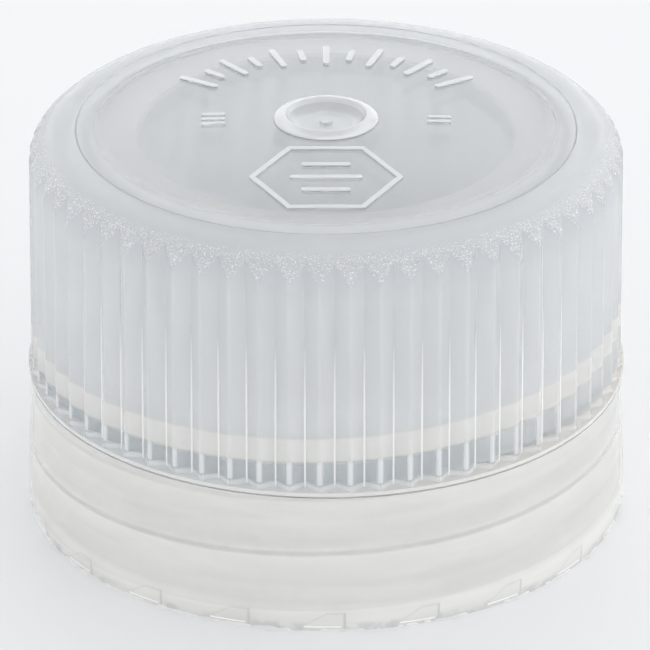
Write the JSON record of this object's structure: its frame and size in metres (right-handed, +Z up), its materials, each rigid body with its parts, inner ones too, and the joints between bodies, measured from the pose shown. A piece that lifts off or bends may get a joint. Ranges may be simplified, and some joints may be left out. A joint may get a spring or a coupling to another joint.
{
  "type": "tamper-evident screw closure",
  "caption": "Translucent ribbed screw closure for a 38 mm bottle neck, with a tamper-evident band, ratchet teeth and a ring gasket under its domed top.",
  "frame": {"origin": "centre of the open rim, in the plane that the closure stands on", "axes": "+Z up through the top panel along the thread axis, -Y towards the side with the hexagon mark"},
  "size_m": [0.0426, 0.0426, 0.0295],
  "materials": {
    "natural_pp": "gloss",
    "band_pp": "satin",
    "gasket_foam": "matte"
  },
  "bodies": {
    "band": {"tamper_band": "band_pp", "break_bridges": "band_pp"},
    "gasket": {"sealing_gasket": "gasket_foam"},
    "cap": {"cap_shell": "natural_pp"}
  },
  "joints": [
    {"name": "cap_rise", "type": "slide", "parent": "band", "child": "gasket", "axis": [0, 0, 1], "range_m": [0, 0.00635]},
    {"name": "cap_turn", "type": "hinge", "parent": "gasket", "child": "cap", "pos_m": [0, 0, 0.027], "axis": [0, 0, 1], "range_deg": [0, 540]}
  ],
  "couplings": [
    {"joint": "cap_rise", "follows": "cap_turn", "m_per_rad": 0.00067375}
  ]
}
